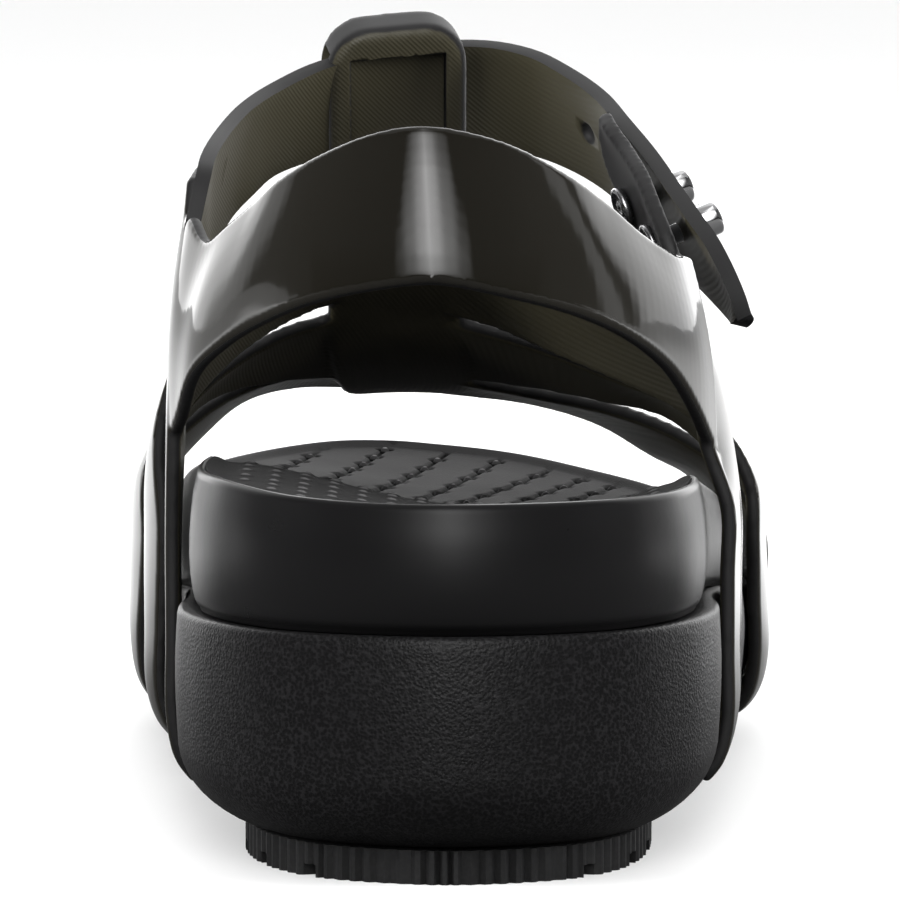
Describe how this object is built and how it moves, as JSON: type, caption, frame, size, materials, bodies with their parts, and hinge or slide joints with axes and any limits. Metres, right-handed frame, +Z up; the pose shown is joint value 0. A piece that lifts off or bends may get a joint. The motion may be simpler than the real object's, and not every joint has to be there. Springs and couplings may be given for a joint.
{
  "type": "fisherman sandal",
  "caption": "Right fisherman sandal: thick foam sole and lugged tread under a glossy moulded cage of straps, with an ankle strap held by studs.",
  "frame": {"origin": "middle of the underside, on the floor", "axes": "+Y from heel to toe, +X to the outer side of the right foot, +Z up"},
  "size_m": [0.1048, 0.26, 0.1213],
  "materials": {
    "tread_rubber": "matte black tread with a fluted edge",
    "grained_foam": "black foam skin with a fine leathery grain",
    "footbed_foam": "black foam, satin sides and a patterned matte top",
    "cage_plastic": "glossy smoke black, slightly clear, ribbed inside",
    "stud_metal": "polished",
    "disc_metal": "dull"
  },
  "bodies": {
    "root": {"outsole": "tread_rubber", "midsole": "grained_foam", "footbed": "footbed_foam", "upper": "cage_plastic", "stud_front": "stud_metal", "stud_rear": "stud_metal", "rivet_disc_front": "disc_metal", "rivet_disc_rear": "disc_metal"}
  },
  "joints": []
}
